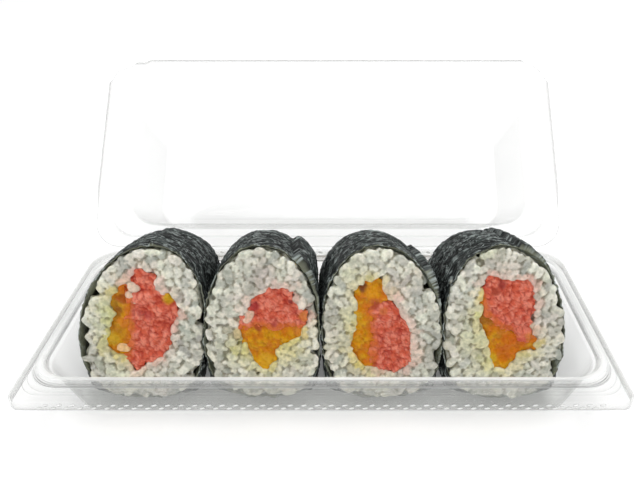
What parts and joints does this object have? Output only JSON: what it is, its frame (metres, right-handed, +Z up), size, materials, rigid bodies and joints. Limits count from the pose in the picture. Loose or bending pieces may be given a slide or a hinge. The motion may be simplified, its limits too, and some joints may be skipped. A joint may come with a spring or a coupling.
{
  "type": "takeaway sushi tray",
  "caption": "Clear hinged plastic food pack, lid open and leaning back, holding cut thick sushi rolls of seaweed, rice, minced fish and yellow pickle.",
  "frame": {"origin": "middle of the tray's flat underside", "axes": "+Z up, -Y the side where the rolls show their cut faces, +X along the tray's long side to the viewer's right"},
  "size_m": [0.2054, 0.1673, 0.0853],
  "materials": {
    "clear_plastic": "clear, glossy, thermoformed",
    "seaweed": "dark dried seaweed sheet, finely wrinkled, soft gloss",
    "rice": "moist cooked rice",
    "minced_fish": "moist coral-pink minced fish",
    "pickle": "moist orange-yellow pickle"
  },
  "bodies": {
    "tray": {"tray_base": "clear_plastic", "roll_1_seaweed": "seaweed", "roll_1_rice": "rice", "roll_1_fish": "minced_fish", "roll_1_pickle": "pickle", "roll_2_seaweed": "seaweed", "roll_2_rice": "rice", "roll_2_fish": "minced_fish", "roll_2_pickle": "pickle", "roll_3_seaweed": "seaweed", "roll_3_rice": "rice", "roll_3_fish": "minced_fish", "roll_3_pickle": "pickle", "roll_4_seaweed": "seaweed", "roll_4_rice": "rice", "roll_4_fish": "minced_fish", "roll_4_pickle": "pickle"},
    "lid": {"tray_lid": "clear_plastic"}
  },
  "joints": [
    {"name": "lid_hinge", "type": "hinge", "parent": "tray", "child": "lid", "pos_m": [0, 0.0452, 0.0213], "axis": [1, 0, 0], "range_deg": [-12, 137]}
  ]
}
